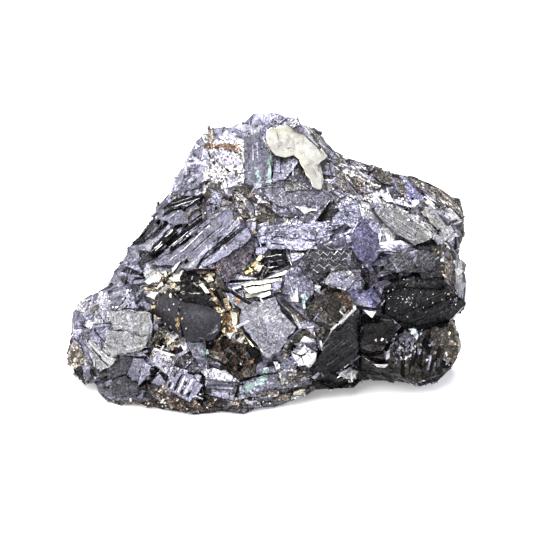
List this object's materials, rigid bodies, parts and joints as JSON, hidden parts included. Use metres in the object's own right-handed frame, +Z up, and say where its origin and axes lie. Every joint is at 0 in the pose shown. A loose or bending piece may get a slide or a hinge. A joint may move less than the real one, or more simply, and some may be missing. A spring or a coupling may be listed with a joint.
{
  "type": "galena mineral specimen",
  "caption": "Heavy metallic grey lump of intergrown cubic galena crystals with stepped cleavage faces, standing on a flat underside.",
  "frame": {"origin": "under the middle of the lump, on the face that it rests on", "axes": "+Z up; +X to the right along the lump's length; the richest crystal face looks towards -Y"},
  "size_m": [0.0798, 0.0538, 0.0531],
  "materials": {
    "galena": "metallic lead grey, bright on fresh cleavage faces, dull and iron-stained in the granular parts"
  },
  "bodies": {
    "root": {"galena": "galena"}
  },
  "joints": []
}
